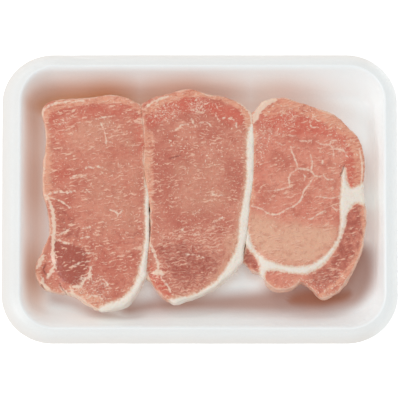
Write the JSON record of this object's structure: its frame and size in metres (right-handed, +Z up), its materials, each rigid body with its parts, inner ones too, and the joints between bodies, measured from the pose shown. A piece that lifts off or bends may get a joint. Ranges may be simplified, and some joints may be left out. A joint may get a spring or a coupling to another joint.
{
  "type": "meat tray pack",
  "caption": "Boneless pork loin chops side by side in a shallow rectangular white foam tray with a rolled rim.",
  "frame": {"origin": "middle of the tray's flat underside, at the middle of the tray's outline", "axes": "+X along the tray's long side, +Y towards its back edge, +Z up out of the tray"},
  "size_m": [0.2348, 0.174, 0.027],
  "materials": {
    "foam_tray": "matte white expanded polystyrene foam",
    "lean_pork": "moist raw lean pork, pink",
    "dark_lean_pork": "moist raw lean pork, deeper red",
    "pork_fat": "raw pork fat, cream, slightly waxy"
  },
  "bodies": {
    "root": {"tray": "foam_tray", "left_chop_fat": "pork_fat", "left_chop_lean": "lean_pork", "left_chop_side_muscle": "dark_lean_pork", "middle_chop_fat": "pork_fat", "middle_chop_lean": "lean_pork", "middle_chop_side_muscle": "dark_lean_pork", "right_chop_fat": "pork_fat", "right_chop_lean": "lean_pork", "right_chop_rim_muscle": "dark_lean_pork", "right_chop_side_muscle": "dark_lean_pork"}
  },
  "joints": []
}
